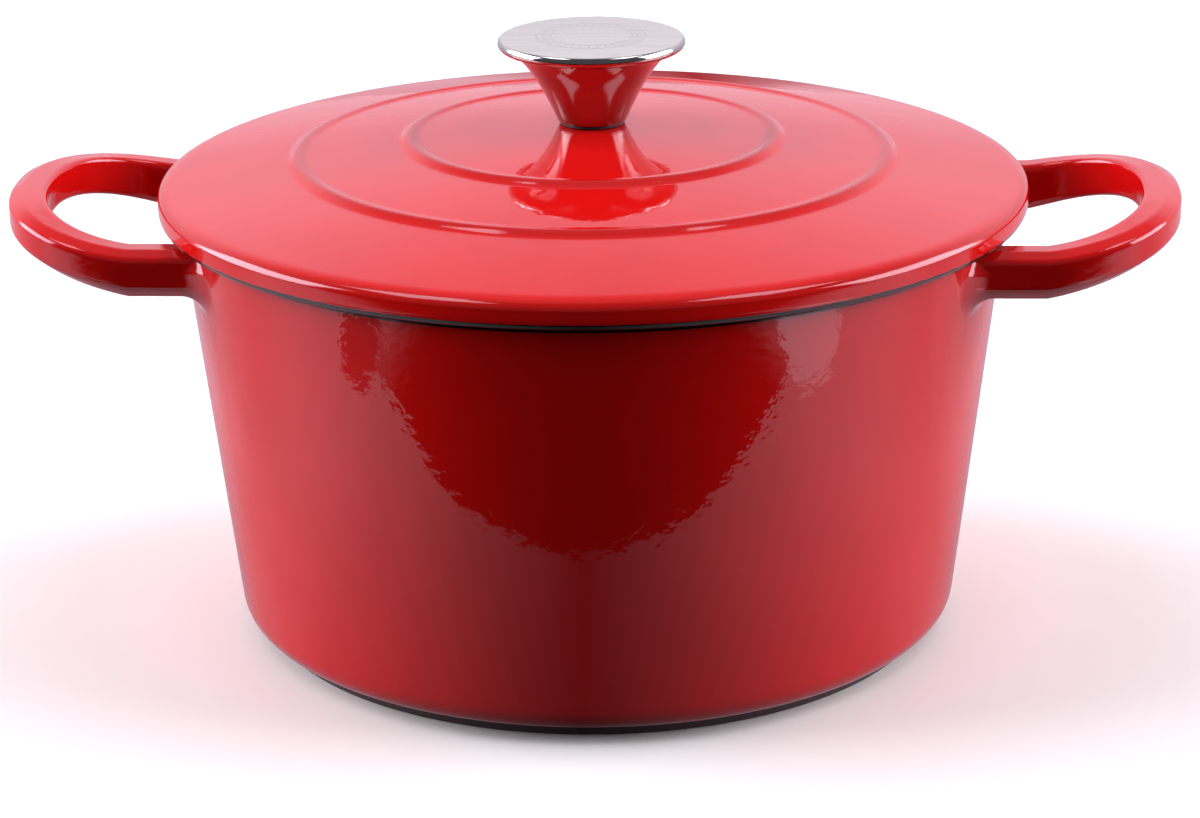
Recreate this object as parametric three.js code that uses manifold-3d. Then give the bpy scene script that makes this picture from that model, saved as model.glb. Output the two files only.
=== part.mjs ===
// A round enamelled cast iron dutch oven: a tapered pot with two loop handles cast in one with it,
// a domed lid with two raised rings, and a flared steel knob held by one screw from under the lid.
// Millimetres, +Z up. The origin is on the surface the pot stands on, on the pot's axis.
// The handles lie along X.

import * as THREE from 'three';
import { ParametricGeometry } from 'three/addons/geometries/ParametricGeometry.js';
import { mergeVertices } from 'three/addons/utils/BufferGeometryUtils.js';
import Module from 'manifold-3d';

const wasm = await Module();
wasm.setup();

// ---- Driving dimensions ----

const GAP = 0.3;                    // left between two pieces that rest on each other

// Pot
const RIM_RADIUS = 130.6;           // outside of the wall at the rim
const BASE_RADIUS = 114.5;          // outside of the wall, carried straight down to the table
const RIM_HEIGHT = 136.8;           // table to the rim land
const POT_WALL = 3.6;
const POT_FLOOR = 4.5;
const BASE_CORNER = 9;              // outside radius between wall and base
const CAVITY_CORNER = 10;           // inside radius between wall and floor
const RIM_CHAMFER = 0.8;
const FOOT_INSET = 7;               // base radius to the outside of the ring the pot stands on
const FOOT_WIDTH = 7;
const FOOT_HEIGHT = 3.2;

// Loop handles
const LOOP_PROJECTION = 47.9;       // rim to the middle of the loop's end
const LOOP_SHOULDER = 9.4;          // rim to where the arms begin to curve
const LOOP_HALF_SPAN = 50.5;        // pot's middle plane to the middle of an arm
const LOOP_SQUARENESS = 2.3;        // 2 is an ellipse, more is squarer
const LOOP_BAND_WIDTH = 12;
const LOOP_BAND_HEIGHT = 15;
const LOOP_END_HEIGHT = 11.5;       // the band is slimmer at the loop's end
const LOOP_BAND_SQUARENESS = 4;
const LOOP_DROP = 0.8;              // rim land down to the top of the arms at the wall
const LOOP_RISE = 7.8;              // how much higher the loop's end is than its arms
const LOOP_RISE_POWER = 1.2;        // 1 rises evenly from the shoulder, more starts gently
const LOOP_FLARE = 0.3;             // share by which an arm widens where it meets the wall
const LOOP_FLARE_LENGTH = 14;

// Lid
const LID_OVERHANG = 6.4;           // lid edge beyond the pot's rim
const LID_WALL = 3.6;
const LID_EDGE_HEIGHT = 9.7;        // seat face to where the dome begins
const LID_RISE = 15;                // from there to the middle, without the rings' steps
const LID_DOME_POWER = 1.55;        // 1 is a cone, 2 is a dish
const LID_EDGE_FILLET = 5.5;
const LID_SIDE_HEIGHT = 2.6;        // upright part of the edge
const LID_UNDERTURN = 3.4;          // radius under the edge
const RING_RADII = [57.8, 93];      // crests of the two raised rings
const RING_HALF_WIDTH = 3.7;
const RING_HEIGHT = 1.1;
const RING_STEP = 0.5;              // the dome inside a ring stands this much higher
const SKIRT_CLEARANCE = 0.7;        // foot of the lid's locating skirt to the inside of the wall
const SKIRT_DEPTH = 5;
const SKIRT_WALL = 3.5;
const PAD_MARGIN = 2;               // flat on the lid beyond the knob's foot
const BOSS_MARGIN = 5;              // thicker middle under the lid, beyond the washer
const BOSS_THICKNESS = 6;

// Knob
const KNOB_FOOT_RADIUS = 11;
const KNOB_HEIGHT = 22.4;           // foot to the cap's underside
const KNOB_WALL = 1.4;
const KNOB_BASE = 2.4;
const KNOB_FOOT_CHAMFER = 0.5;
const CAP_RADIUS = 29.4;
const CAP_BEVEL = 4.5;              // how far the polished bevel runs in under the cap
const CAP_EDGE = 3.6;               // underside to the top edge
const CAP_CROWN = 0.6;
const CAP_EDGE_ROUNDING = 0.5;
const CAP_SPIGOT_INSET = 4.1;       // inside of the trumpet's mouth to the spigot under the cap
const CAP_SPIGOT_DEPTH = 1.6;
const GASKET_THICKNESS = 0.5;
const GASKET_INSET = 0.7;           // gasket edge inside the knob's foot

// Fastening: metric coarse thread, 6 mm
const THREAD_RADIUS = 3;
const THREAD_CLEARANCE = 0.3;       // screw to the insert's bore
const HOLE_CLEARANCE = 0.5;         // screw to the holes it only passes through
const THREAD_ENGAGEMENT = 10;
const BORE_SPARE = 1.2;             // bore beyond the screw's tip
const INSERT_WALL = 2.9;
const INSERT_TOP = 2;               // metal over the blind bore
const WASHER_RADIUS = 9;
const WASHER_THICKNESS = 1.2;
const SPRING_WIDTH = 2.1;
const SPRING_THICKNESS = 1.6;
const SPRING_SPLIT = 0.9;           // width of the cut through the spring washer
const HEAD_RADIUS = 6;
const HEAD_HEIGHT = 4;
const HEAD_ROUNDING = 1.6;
const RECESS_LENGTH = 6.4;          // one bar of the cross recess
const RECESS_WIDTH = 1.3;
const RECESS_DEPTH = 2.2;

// Facets
const POT_FACETS = 60;
const LID_FACETS = 60;
const KNOB_FACETS = 36;
const SMALL_FACETS = 24;
const SPRING_FACETS = 14;           // along each of the split ring's arcs
const ARM_STATIONS = 4;
const BEND_STATIONS = 16;
const BAND_FACETS = 16;

// ---- Levels and radii that follow from them ----

const wallSlope = (RIM_RADIUS - BASE_RADIUS) / RIM_HEIGHT;
const wallLean = Math.atan(wallSlope);
const wallRadius = (z) => BASE_RADIUS + wallSlope * z;
const cavityRadius = (z) => wallRadius(z) - POT_WALL / Math.cos(wallLean);
const floorTop = FOOT_HEIGHT + POT_FLOOR;
const footRadius = BASE_RADIUS - FOOT_INSET;

const lidSeat = RIM_HEIGHT + GAP;
const lidRadius = RIM_RADIUS + LID_OVERHANG;
const domeRadius = lidRadius - LID_EDGE_FILLET;
const domeFoot = lidSeat + LID_EDGE_HEIGHT;
const padRadius = KNOB_FOOT_RADIUS + PAD_MARGIN;
const padLevel = lidTop(padRadius);
const bossLevel = padLevel - BOSS_THICKNESS;
const bossRadius = WASHER_RADIUS + BOSS_MARGIN;
const screwHole = THREAD_RADIUS + HOLE_CLEARANCE;

const gasketLevel = padLevel + GAP;
const knobFoot = gasketLevel + GASKET_THICKNESS + GAP;
const knobMouth = knobFoot + KNOB_HEIGHT;
const mouthRadius = CAP_RADIUS - CAP_BEVEL;
const trumpetWall = 1.25 * KNOB_WALL;  // measured level, because the trumpet leans
const insertFoot = knobFoot + KNOB_BASE + GAP;
const boreRadius = THREAD_RADIUS + THREAD_CLEARANCE;

const washerTop = bossLevel - GAP;
const springTop = washerTop - WASHER_THICKNESS - GAP;
const headTop = springTop - SPRING_THICKNESS - GAP;
const screwTip = insertFoot + THREAD_ENGAGEMENT;

// ---- Finishes ----

const redEnamel = { color: 0xc8141c, roughness: 0.12, metalness: 0 };
const brushedSteel = { color: 0xc9c4c0, roughness: 0.32, metalness: 1 };
const polishedSteel = { color: 0xd8d5d2, roughness: 0.08, metalness: 1 };
const zincSteel = { color: 0xb4b4b0, roughness: 0.35, metalness: 1 };
const blackRubber = { color: 0x1a1a1a, roughness: 0.8, metalness: 0 };

// ---- Shape helpers ----

// A smooth step from 0 to 1 as x goes from a to b.
function smooth(a, b, x) {
  return THREE.MathUtils.smoothstep(x, a, b);
}

// A turned solid. The profile is a list of [radius, height], from the axis to the axis or back to its start.
function turned(profile, facets) {
  const points = profile.map(([r, z]) => new THREE.Vector2(r, z));
  return new THREE.LatheGeometry(points, facets).rotateX(Math.PI / 2);
}

// A rounded corner through two ends and the corner between them, without its last point.
function bend(from, corner, to, divisions) {
  const [a, b, c] = [from, corner, to].map(([x, y]) => new THREE.Vector2(x, y));
  const curve = new THREE.QuadraticBezierCurve(a, b, c);
  return curve.getPoints(divisions).slice(0, -1).map((p) => [p.x, p.y]);
}

// An arc of a circle, angles in radians from the +X direction, both ends included.
function arc(x, y, radius, from, to, divisions) {
  const curve = new THREE.EllipseCurve(x, y, radius, radius, from, to, to < from);
  return curve.getPoints(divisions).map((p) => [p.x, p.y]);
}

function solidOf(geometry) {
  const plain = geometry.index ? geometry.toNonIndexed() : geometry.clone();
  plain.deleteAttribute('normal');
  plain.deleteAttribute('uv');
  const merged = mergeVertices(plain, 1e-4);
  const vertProperties = new Float32Array(merged.attributes.position.array);
  const triVerts = new Uint32Array(merged.index.array);
  return new wasm.Manifold(new wasm.Mesh({ numProp: 3, vertProperties, triVerts }));
}

function geometryOf(solid) {
  const mesh = solid.getMesh();
  const geometry = new THREE.BufferGeometry();
  geometry.setAttribute('position', new THREE.BufferAttribute(mesh.vertProperties, 3));
  geometry.setIndex(new THREE.BufferAttribute(mesh.triVerts, 1));
  geometry.computeVertexNormals();
  return geometry;
}

function piece(name, geometry, finish) {
  const mesh = new THREE.Mesh(geometry, new THREE.MeshStandardMaterial(finish));
  mesh.name = name;
  return mesh;
}

// ---- Pot ----

// The wall and the base meet in an arc that touches both.
function baseCorner(radiusAt, level, corner, divisions) {
  const middle = level + corner;
  const inset = corner / Math.cos(wallLean);
  return arc(radiusAt(middle) - inset, middle, corner, -Math.PI / 2, -wallLean, divisions);
}

function potOutside() {
  const footInside = footRadius - FOOT_WIDTH;
  return turned([
    [0, FOOT_HEIGHT],
    [footInside, FOOT_HEIGHT],
    [footInside, 0],
    [footRadius, 0],
    [footRadius, FOOT_HEIGHT],
    ...baseCorner(wallRadius, FOOT_HEIGHT, BASE_CORNER, 5),
    [wallRadius(RIM_HEIGHT - RIM_CHAMFER), RIM_HEIGHT - RIM_CHAMFER],
    [RIM_RADIUS - RIM_CHAMFER, RIM_HEIGHT],
    [0, RIM_HEIGHT],
  ], POT_FACETS);
}

function potCavity() {
  const above = RIM_HEIGHT + POT_WALL;
  return turned([
    [0, floorTop],
    ...baseCorner(cavityRadius, floorTop, CAVITY_CORNER, 4),
    [cavityRadius(RIM_HEIGHT - RIM_CHAMFER), RIM_HEIGHT - RIM_CHAMFER],
    [cavityRadius(RIM_HEIGHT) + RIM_CHAMFER, RIM_HEIGHT],
    [cavityRadius(RIM_HEIGHT) + RIM_CHAMFER, above],
    [0, above],
  ], POT_FACETS);
}

// The middle line of the +X loop, from inside the wall on the +Y side round to the -Y side.
// It is two straight arms joined by half of a superellipse. Each station has its place and its outward
// direction in plan.
function loopStations() {
  const start = wallRadius(RIM_HEIGHT - LOOP_DROP - LOOP_BAND_HEIGHT) - POT_WALL;
  const inner = Math.sqrt(start ** 2 - LOOP_HALF_SPAN ** 2);
  const shoulder = RIM_RADIUS + LOOP_SHOULDER;
  const reach = LOOP_PROJECTION - LOOP_SHOULDER;
  const power = 2 / LOOP_SQUARENESS;
  const plan = [];
  for (let i = 0; i < ARM_STATIONS; i += 1) {
    plan.push([THREE.MathUtils.lerp(inner, shoulder, i / ARM_STATIONS), LOOP_HALF_SPAN]);
  }
  for (let i = 0; i <= BEND_STATIONS; i += 1) {
    const angle = Math.PI * (0.5 - i / BEND_STATIONS);
    const x = shoulder + reach * Math.abs(Math.cos(angle)) ** power;
    const y = Math.sign(Math.sin(angle)) * LOOP_HALF_SPAN * Math.abs(Math.sin(angle)) ** power;
    plan.push([x, y]);
  }
  for (let i = ARM_STATIONS - 1; i >= 0; i -= 1) {
    plan.push([THREE.MathUtils.lerp(inner, shoulder, i / ARM_STATIONS), -LOOP_HALF_SPAN]);
  }
  return plan.map((here, i) => {
    const before = plan[Math.max(i - 1, 0)];
    const after = plan[Math.min(i + 1, plan.length - 1)];
    const heading = new THREE.Vector2(after[0] - before[0], after[1] - before[1]).normalize();
    const outward = new THREE.Vector2(-heading.y, heading.x);
    return { here: new THREE.Vector2(...here), outward };
  });
}

// A band of superelliptic section carried along the loop, rising to its end.
// Where it meets the wall it widens to both sides and downwards, so that the lid keeps its room above.
function loopHandle() {
  const stations = loopStations();
  const last = stations.length + 1;
  const power = 2 / LOOP_BAND_SQUARENESS;
  const pointAt = (u, v, target) => {
    const stop = Math.round(v * last);
    const { here, outward } = stations[THREE.MathUtils.clamp(stop - 1, 0, stations.length - 1)];
    const beyond = Math.max(here.x - RIM_RADIUS - LOOP_SHOULDER, 0);
    const outFromShoulder = beyond / (LOOP_PROJECTION - LOOP_SHOULDER);
    const top = RIM_HEIGHT - LOOP_DROP + LOOP_RISE * outFromShoulder ** LOOP_RISE_POWER;
    const height = THREE.MathUtils.lerp(LOOP_BAND_HEIGHT, LOOP_END_HEIGHT, outFromShoulder);
    const flare = 1 + LOOP_FLARE * (1 - smooth(0, LOOP_FLARE_LENGTH, here.length() - RIM_RADIUS));
    const closed = stop === 0 || stop === last ? 0 : 1;
    const angle = Math.PI * 2 * (u % 1);
    const c = Math.cos(angle);
    const s = Math.sin(angle);
    const across = closed * flare * LOOP_BAND_WIDTH / 2 * Math.sign(c) * Math.abs(c) ** power;
    const deepen = s < 0 ? flare : 1;
    const up = closed * deepen * height / 2 * Math.sign(s) * Math.abs(s) ** power;
    target.set(here.x + across * outward.x, here.y + across * outward.y, top - height / 2 + up);
  };
  return new ParametricGeometry(pointAt, BAND_FACETS, last);
}

function potBody() {
  const right = loopHandle();
  const left = right.clone().rotateZ(Math.PI);
  const casting = solidOf(potOutside()).add(solidOf(right)).add(solidOf(left));
  return piece('pot_body', geometryOf(casting.subtract(solidOf(potCavity()))), redEnamel);
}

// ---- Lid ----

// The dome without its rings: from its foot at the edge up to the middle.
function domeTop(r) {
  return domeFoot + LID_RISE * (1 - (r / domeRadius) ** LID_DOME_POWER);
}

// The dome with its rings, each a cosine-squared bead on a small step down.
function lidTop(r) {
  return RING_RADII.reduce((z, crest) => {
    const off = r - crest;
    const bead = Math.abs(off) < RING_HALF_WIDTH ? Math.cos(Math.PI * off / (2 * RING_HALF_WIDTH)) ** 2 : 0;
    const step = 1 - smooth(-RING_HALF_WIDTH, RING_HALF_WIDTH, off);
    return z + RING_HEIGHT * bead + RING_STEP * step;
  }, domeTop(r));
}

function lidUnder(r) {
  return domeTop(r) - LID_WALL + RING_RADII.filter((crest) => r < crest).length * RING_STEP;
}

function lidBody() {
  const acrossRing = [-1, -0.5, 0, 0.5, 1];
  const ringStops = RING_RADII.flatMap((crest) => acrossRing.map((k) => crest + k * RING_HALF_WIDTH));
  const between = (RING_RADII[0] + RING_RADII[1]) / 2;
  const beyond = (RING_RADII[1] + domeRadius) / 2;
  const stops = [padRadius, 2 * padRadius, between, beyond, ...ringStops].sort((a, b) => a - b);
  const edgeSlope = LID_RISE * LID_DOME_POWER / domeRadius;
  const filletCorner = domeFoot - edgeSlope * LID_EDGE_FILLET;
  const sideTop = lidSeat + LID_UNDERTURN + LID_SIDE_HEIGHT;
  const seatRadius = lidRadius - LID_UNDERTURN;
  const skirtFoot = lidSeat - SKIRT_DEPTH;
  const skirtOutside = cavityRadius(skirtFoot) - SKIRT_CLEARANCE;
  const skirtInside = skirtOutside - SKIRT_WALL;
  return piece('lid_body', turned([
    [screwHole, padLevel],
    ...stops.map((r) => [r, lidTop(r)]),
    ...bend([domeRadius, domeFoot], [lidRadius, filletCorner], [lidRadius, sideTop], 4),
    [lidRadius, sideTop],
    ...bend([lidRadius, lidSeat + LID_UNDERTURN], [lidRadius, lidSeat], [seatRadius, lidSeat], 3),
    [seatRadius, lidSeat],
    [skirtOutside, lidSeat],
    [skirtOutside, skirtFoot],
    [skirtInside, skirtFoot],
    [skirtInside, lidUnder(skirtInside)],
    [RING_RADII[1], lidUnder(RING_RADII[1])],
    [RING_RADII[0], lidUnder(RING_RADII[0])],
    [bossRadius, lidUnder(bossRadius)],
    [bossRadius, bossLevel],
    [screwHole, bossLevel],
    [screwHole, padLevel],
  ].reverse(), LID_FACETS), redEnamel);
}

// ---- Knob ----

// The trumpet outline from foot to mouth, as a cubic curve of radius and height.
function trumpet() {
  const flare = mouthRadius - KNOB_FOOT_RADIUS;
  return new THREE.CubicBezierCurve(
    new THREE.Vector2(KNOB_FOOT_RADIUS, knobFoot + KNOB_FOOT_CHAMFER),
    new THREE.Vector2(KNOB_FOOT_RADIUS + 0.27 * flare, knobFoot + 0.4 * KNOB_HEIGHT),
    new THREE.Vector2(KNOB_FOOT_RADIUS + 0.6 * flare, knobFoot + 0.8 * KNOB_HEIGHT),
    new THREE.Vector2(mouthRadius, knobMouth),
  );
}

function knobBody() {
  const outside = trumpet().getPoints(8).map((p) => [p.x, p.y]);
  const baseTop = knobFoot + KNOB_BASE;
  const inside = outside.filter(([, z]) => z > baseTop + KNOB_WALL).map(([r, z]) => [r - trumpetWall, z]);
  return piece('knob_body', turned([
    [screwHole, knobFoot],
    [KNOB_FOOT_RADIUS - KNOB_FOOT_CHAMFER, knobFoot],
    ...outside,
    ...inside.reverse(),
    [KNOB_FOOT_RADIUS - KNOB_WALL, baseTop],
    [screwHole, baseTop],
    [screwHole, knobFoot],
  ], KNOB_FACETS), polishedSteel);
}

function knobCap() {
  const underside = knobMouth + GAP;
  const topEdge = underside + CAP_EDGE;
  const spigotRadius = mouthRadius - trumpetWall - CAP_SPIGOT_INSET;
  return piece('knob_cap', turned([
    [0, underside - CAP_SPIGOT_DEPTH],
    [spigotRadius, underside - CAP_SPIGOT_DEPTH],
    [spigotRadius, underside],
    [mouthRadius, underside],
    [CAP_RADIUS, topEdge - CAP_EDGE_ROUNDING],
    [CAP_RADIUS - CAP_EDGE_ROUNDING, topEdge],
    [CAP_RADIUS / 2, topEdge + 0.75 * CAP_CROWN],
    [0, topEdge + CAP_CROWN],
  ], KNOB_FACETS), brushedSteel);
}

// A round nut, blind at the top, held inside the knob.
function knobInsert() {
  const boreEnd = screwTip + BORE_SPARE;
  const outside = boreRadius + INSERT_WALL;
  return piece('knob_insert', turned([
    [0, boreEnd],
    [boreRadius, boreEnd],
    [boreRadius, insertFoot],
    [outside, insertFoot],
    [outside, boreEnd + INSERT_TOP],
    [0, boreEnd + INSERT_TOP],
  ], SMALL_FACETS), zincSteel);
}

// ---- Fastening ----

function flatRing(inside, outside, bottom, thickness, facets) {
  return turned([
    [inside, bottom],
    [outside, bottom],
    [outside, bottom + thickness],
    [inside, bottom + thickness],
    [inside, bottom],
  ], facets);
}

function knobGasket() {
  const outside = KNOB_FOOT_RADIUS - GASKET_INSET;
  const ring = flatRing(screwHole, outside, gasketLevel, GASKET_THICKNESS, KNOB_FACETS);
  return piece('knob_gasket', ring, blackRubber);
}

function flatWasher() {
  const bottom = washerTop - WASHER_THICKNESS;
  const ring = flatRing(screwHole, WASHER_RADIUS, bottom, WASHER_THICKNESS, SMALL_FACETS);
  return piece('flat_washer', ring, zincSteel);
}

// A square-section ring with one cut through it.
function springWasher() {
  const cut = Math.asin(SPRING_SPLIT / 2 / screwHole);
  const outline = new THREE.Shape();
  outline.absarc(0, 0, screwHole + SPRING_WIDTH, cut, 2 * Math.PI - cut, false);
  outline.absarc(0, 0, screwHole, 2 * Math.PI - cut, cut, true);
  const settings = { depth: SPRING_THICKNESS, bevelEnabled: false, curveSegments: SPRING_FACETS };
  const geometry = new THREE.ExtrudeGeometry(outline, settings);
  geometry.translate(0, 0, springTop - SPRING_THICKNESS);
  return piece('spring_washer', geometry, zincSteel);
}

// A pan head screw that points up, with a cross recess in its head.
function knobScrew() {
  const headFoot = headTop - HEAD_HEIGHT;
  const roundingTop = headFoot + HEAD_ROUNDING;
  const faceRadius = HEAD_RADIUS - HEAD_ROUNDING;
  const tipChamfer = THREAD_RADIUS / 4;
  const blank = turned([
    [0, headFoot],
    ...bend([faceRadius, headFoot], [HEAD_RADIUS, headFoot], [HEAD_RADIUS, roundingTop], 3),
    [HEAD_RADIUS, roundingTop],
    [HEAD_RADIUS, headTop],
    [THREAD_RADIUS, headTop],
    [THREAD_RADIUS, screwTip - tipChamfer],
    [THREAD_RADIUS - tipChamfer, screwTip],
    [0, screwTip],
  ], SMALL_FACETS);
  const bar = new THREE.BoxGeometry(RECESS_LENGTH, RECESS_WIDTH, 2 * RECESS_DEPTH);
  bar.translate(0, 0, headFoot);
  const cross = solidOf(bar).add(solidOf(bar.clone().rotateZ(Math.PI / 2)));
  return piece('knob_screw', geometryOf(solidOf(blank).subtract(cross)), zincSteel);
}

// ---- Assembly ----

const knob = new THREE.Group();
knob.add(knobBody(), knobCap(), knobInsert(), knobGasket());

const lid = new THREE.Group();
lid.add(lidBody(), knob, flatWasher(), springWasher(), knobScrew());

const dutchOven = new THREE.Group();
dutchOven.add(potBody(), lid);

export default dutchOven;
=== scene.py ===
"""The looks of a round enamelled cast iron dutch oven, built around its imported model.

The pot and its loop handles are one casting and the lid is another, both under a fired red glass enamel.
A flared steel knob stands on the lid, held by a screw with two washers from below.
Lengths are in millimetres up to the point where a surface becomes a mesh, which is in metres.
"""

import functools
import logging
import math
from collections.abc import Callable
from dataclasses import dataclass, field
from enum import Enum

import bpy
import numpy as np
from mathutils import Matrix, Vector

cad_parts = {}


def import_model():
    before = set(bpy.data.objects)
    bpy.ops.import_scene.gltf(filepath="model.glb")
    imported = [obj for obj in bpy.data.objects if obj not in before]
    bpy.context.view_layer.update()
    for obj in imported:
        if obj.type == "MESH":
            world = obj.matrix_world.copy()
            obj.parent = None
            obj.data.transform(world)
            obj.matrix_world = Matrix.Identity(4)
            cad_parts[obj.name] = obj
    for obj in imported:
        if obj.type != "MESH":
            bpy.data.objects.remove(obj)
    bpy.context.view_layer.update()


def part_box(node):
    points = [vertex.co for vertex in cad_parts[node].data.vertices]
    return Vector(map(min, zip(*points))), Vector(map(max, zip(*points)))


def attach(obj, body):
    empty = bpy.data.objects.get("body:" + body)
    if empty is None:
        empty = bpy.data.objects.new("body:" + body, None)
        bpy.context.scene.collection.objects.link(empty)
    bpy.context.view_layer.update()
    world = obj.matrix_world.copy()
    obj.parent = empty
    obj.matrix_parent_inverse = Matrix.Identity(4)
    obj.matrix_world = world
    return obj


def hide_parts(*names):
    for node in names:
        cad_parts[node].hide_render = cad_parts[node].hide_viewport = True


MM = 0.001
GAP = 0.3  # between pieces that rest on each other
SHARP_ANGLE = math.radians(38)

log = logging.getLogger("dutch_oven")

Array = np.ndarray
Colour = tuple[float, float, float]
Point = tuple[float, float]
Socket = bpy.types.NodeSocket

ROOM_TINT: Colour = (0.98, 0.91, 1.07)


class Zone(Enum):
    """The parts of a casting that carry another finish than the red enamel; each is a point attribute."""

    RIM = "bare_rim"
    INSIDE = "inside"
    FOOT = "foot"
    THIN = "thin_enamel"


class Body(Enum):
    """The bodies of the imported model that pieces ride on."""

    POT = "pot"
    LID = "lid"
    WASHERS = "washers"
    SCREW = "screw"


# ---- Outlines and surfaces ----


def line(start: Point, end: Point, count: int = 2) -> Array:
    """Points of radius and height evenly spaced on a straight stretch, ends included."""
    t = np.linspace(0, 1, count)[:, None]
    return np.array(start) * (1 - t) + np.array(end) * t


def arc(centre: Point, radius: float, start: float, end: float, count: int = 9) -> Array:
    """Points centre + radius (cos a, sin a) for angles a in degrees from start to end."""
    a = np.radians(np.linspace(start, end, count))
    return np.array(centre) + radius * np.stack([np.cos(a), np.sin(a)], axis=1)


def bezier(*control: Point, count: int = 12) -> Array:
    """A Bezier curve: the sum over k of C(n, k) (1 - t)^(n - k) t^k times control point k.

    Args:
        control: The control points.
        count: How many points on the curve.

    Returns:
        An array of count rows.
    """
    t = np.linspace(0, 1, count)[:, None]
    n = len(control) - 1
    return sum(math.comb(n, k) * (1 - t) ** (n - k) * t**k * np.array(p) for k, p in enumerate(control))


def chain(*stretches: Array) -> Array:
    """The stretches joined into one outline, without the points that repeat the one before.

    Args:
        stretches: Arrays of points, each starting where the last one ended.

    Returns:
        One array of points.
    """
    points = np.concatenate([np.atleast_2d(s) for s in stretches])
    step = np.linalg.norm(np.diff(points, axis=0), axis=1)
    return points[np.concatenate([[True], step > 1e-6])]


def smooth(low: float, high: float, x: Array) -> Array:
    """A smooth step 3t^2 - 2t^3 from 0 at low to 1 at high, with t the clipped share of the way."""
    t = np.clip((x - low) / (high - low), 0, 1)
    return t * t * (3 - 2 * t)


@dataclass
class Surface:
    """A closed surface in millimetres: its points, faces and named point values."""

    points: Array
    faces: list[list[int]]
    values: dict[str, Array] = field(default_factory=dict)

    def turned_about(self, degrees: float) -> "Surface":
        """The surface turned about the vertical axis."""
        c, s = math.cos(math.radians(degrees)), math.sin(math.radians(degrees))
        turn = np.array([[c, s, 0], [-s, c, 0], [0, 0, 1]])
        return Surface(self.points @ turn, self.faces, self.values)

    def volume(self) -> float:
        """A sixth of the sum of a . (b x c) over the triangles, positive if the faces point out."""
        fans = [(f[0], f[i], f[i + 1]) for f in self.faces for i in range(1, len(f) - 1)]
        a, b, c = (self.points[np.array(fans)[:, k]] for k in range(3))
        return float(np.einsum("ij,ij->i", a, np.cross(b, c)).sum() / 6)

    def made(self, name: str) -> bpy.types.Object:
        """The surface as an object in metres, facing out, smooth except across sharp edges.

        Args:
            name: The object's name.

        Returns:
            The object, linked into the scene.
        """
        faces = self.faces if self.volume() > 0 else [face[::-1] for face in self.faces]
        mesh = bpy.data.meshes.new(name)
        mesh.from_pydata((self.points * MM).tolist(), [], faces)
        for label, value in self.values.items():
            mesh.attributes.new(label, "FLOAT", "POINT").data.foreach_set("value", value.astype(np.float32))
        mesh.polygons.foreach_set("use_smooth", np.ones(len(faces), bool))
        mesh.set_sharp_from_angle(angle=SHARP_ANGLE)
        obj = bpy.data.objects.new(name, mesh)
        bpy.context.scene.collection.objects.link(obj)
        return obj


def round_axis(r: Array, z: Array, a: Array) -> Array:
    """The points (r cos a, r sin a, z) for a grid of radii, heights and angles."""
    return np.stack([r * np.cos(a), r * np.sin(a), z + 0 * a], axis=-1)


def tube(grid: Array, poles: tuple[Array, ...] = ()) -> Surface:
    """A surface through closed rings of points.

    Args:
        grid: Points by ring, place round the ring, and coordinate.
        poles: The two points that close the first and the last ring. Without them those two join.

    Returns:
        The closed surface.
    """
    rows, columns = grid.shape[:2]
    steps = np.arange(columns)
    following = (steps + 1) % columns
    ring = np.arange(rows - 1 if poles else rows)[:, None] * columns
    below = (ring + columns) % (rows * columns)
    faces = np.stack([ring + steps, below + steps, below + following, ring + following], axis=-1)
    faces = faces.reshape(-1, 4).tolist()
    points = grid.reshape(-1, 3)
    if poles:
        pole, last = np.full(columns, len(points)), len(points) - columns
        faces += np.stack([pole, steps, following], axis=1).tolist()
        faces += np.stack([pole + 1, last + following, last + steps], axis=1).tolist()
        points = np.concatenate([points, np.array(poles)])
    return Surface(points, faces)


def turned(profile: Array, segments: int, values: dict[str, Array] | None = None) -> Surface:
    """A surface of revolution about the vertical axis.

    Args:
        profile: Radius and height of each point, once round the section. It starts and ends on the axis, or
            keeps off it and joins up with itself.
        segments: Steps round the axis.
        values: Named values for each profile point.

    Returns:
        The closed surface.
    """
    on_axis = profile[:, 0] < 1e-6
    rings = profile[~on_axis]
    a = np.linspace(0, 2 * np.pi, segments, endpoint=False)
    poles = tuple(np.array([0.0, 0.0, z]) for z in profile[on_axis, 1])
    surface = tube(round_axis(rings[:, :1], rings[:, 1:], a), poles)
    for label, value in (values or {}).items():
        surface.values[label] = np.concatenate([np.repeat(value[~on_axis], segments), value[on_axis]])
    return surface


def swept(grid: Array) -> Surface:
    """A tube through closed sections, closed at both ends in the section's middle."""
    return tube(grid, (grid[0].mean(axis=0), grid[-1].mean(axis=0)))


def rounded_outline(corners: Array, radii: Array, count: int) -> Array:
    """A closed polygon with its corners rounded by quadratic curves, as evenly spaced points.

    Each corner's curve starts and ends radii away from it along the two sides.

    Args:
        corners: The corners, once round.
        radii: How far from each corner its rounding starts.
        count: How many points.

    Returns:
        An array of count points.
    """
    before = corners - np.roll(corners, 1, axis=0)
    after = np.roll(corners, -1, axis=0) - corners
    enter = corners - before / np.linalg.norm(before, axis=1)[:, None] * radii[:, None]
    leave = corners + after / np.linalg.norm(after, axis=1)[:, None] * radii[:, None]
    t = np.linspace(0, 1, 9)[None, :, None]
    curves = (1 - t) ** 2 * enter[:, None] + 2 * t * (1 - t) * corners[:, None] + t**2 * leave[:, None]
    dense = curves.reshape(-1, 2)
    closed = np.concatenate([dense, dense[:1]])
    travel = np.concatenate([[0], np.cumsum(np.linalg.norm(np.diff(closed, axis=0), axis=1))])
    at = np.linspace(0, travel[-1], count, endpoint=False)
    return np.stack([np.interp(at, travel, closed[:, k]) for k in (0, 1)], axis=1)


# ---- Shader graphs ----


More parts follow.
